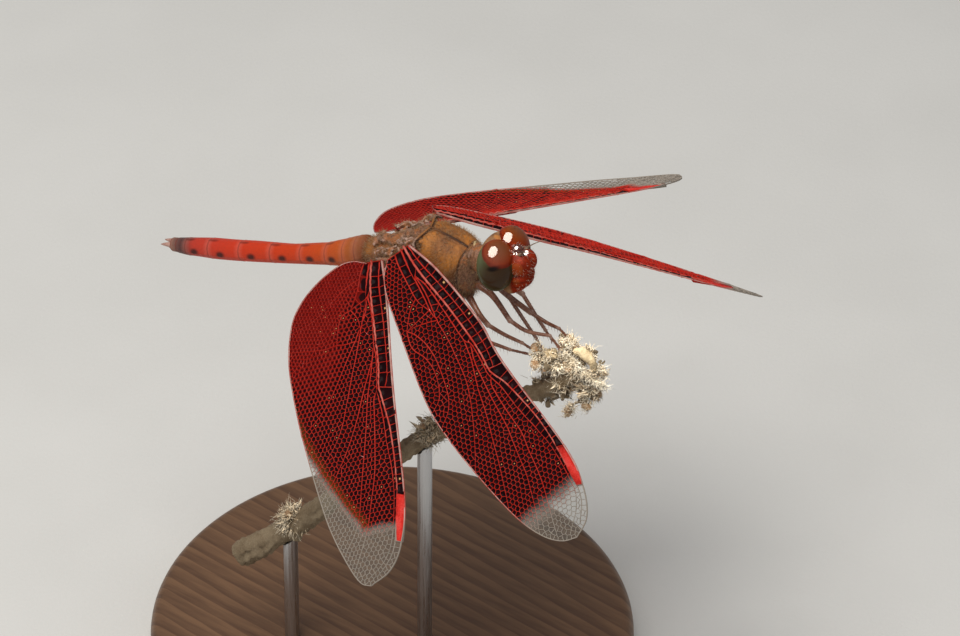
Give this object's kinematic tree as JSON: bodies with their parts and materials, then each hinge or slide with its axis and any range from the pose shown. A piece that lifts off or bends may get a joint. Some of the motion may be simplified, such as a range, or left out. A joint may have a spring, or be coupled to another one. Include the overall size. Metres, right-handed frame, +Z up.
{
  "type": "red parasol dragonfly model",
  "caption": "Still life-size model of a male red parasol dragonfly, wings drooped forward, gripping a dry flower stem held by two rods over a round base.",
  "frame": {"origin": "centre of the stand base's underside", "axes": "+Z up out of the base; the dragonfly's head points along -Y and its left wings along +X"},
  "size_m": [0.0483, 0.0498, 0.0461],
  "materials": {
    "eye": "glossy rust red above, olive grey below",
    "face": "pitted deep red",
    "head": "brown, finely haired",
    "thorax": "orange brown, finely haired",
    "abdomen": "satin orange red with dark side spots",
    "tail": "pinkish tan",
    "wing": "dark red membrane, bright red veins, clear tips",
    "leg": "reddish brown, spined",
    "stem": "dry, cream and tan",
    "base": "oiled walnut",
    "rod": "satin"
  },
  "bodies": {
    "root": {"abdomen_01": "abdomen", "abdomen_02": "abdomen", "abdomen_03": "abdomen", "abdomen_04": "abdomen", "abdomen_05": "abdomen", "abdomen_06": "abdomen", "abdomen_07": "abdomen", "abdomen_08": "abdomen", "abdomen_09": "abdomen", "abdomen_10": "abdomen", "antenna_left": "head", "antenna_right": "head", "clypeus": "face", "eye_left": "eye", "eye_right": "eye", "forewing_left": "wing", "forewing_right": "wing", "frons": "face", "head": "head", "hindwing_left": "wing", "hindwing_right": "wing", "leg_front_left_femur": "leg", "leg_front_left_tarsus": "leg", "leg_front_left_tibia": "leg", "leg_front_right_femur": "leg", "leg_front_right_tarsus": "leg", "leg_front_right_tibia": "leg", "leg_hind_left_femur": "leg", "leg_hind_left_tarsus": "leg", "leg_hind_left_tibia": "leg", "leg_hind_right_femur": "leg", "leg_hind_right_tarsus": "leg", "leg_hind_right_tibia": "leg", "leg_middle_left_femur": "leg", "leg_middle_left_tarsus": "leg", "leg_middle_left_tibia": "leg", "leg_middle_right_femur": "leg", "leg_middle_right_tarsus": "leg", "leg_middle_right_tibia": "leg", "mouthparts": "face", "perch": "stem", "prothorax": "thorax", "stand_base": "base", "stand_rod_back": "rod", "stand_rod_front": "rod", "tail": "tail", "thorax": "thorax", "vertex": "face"}
  },
  "joints": []
}
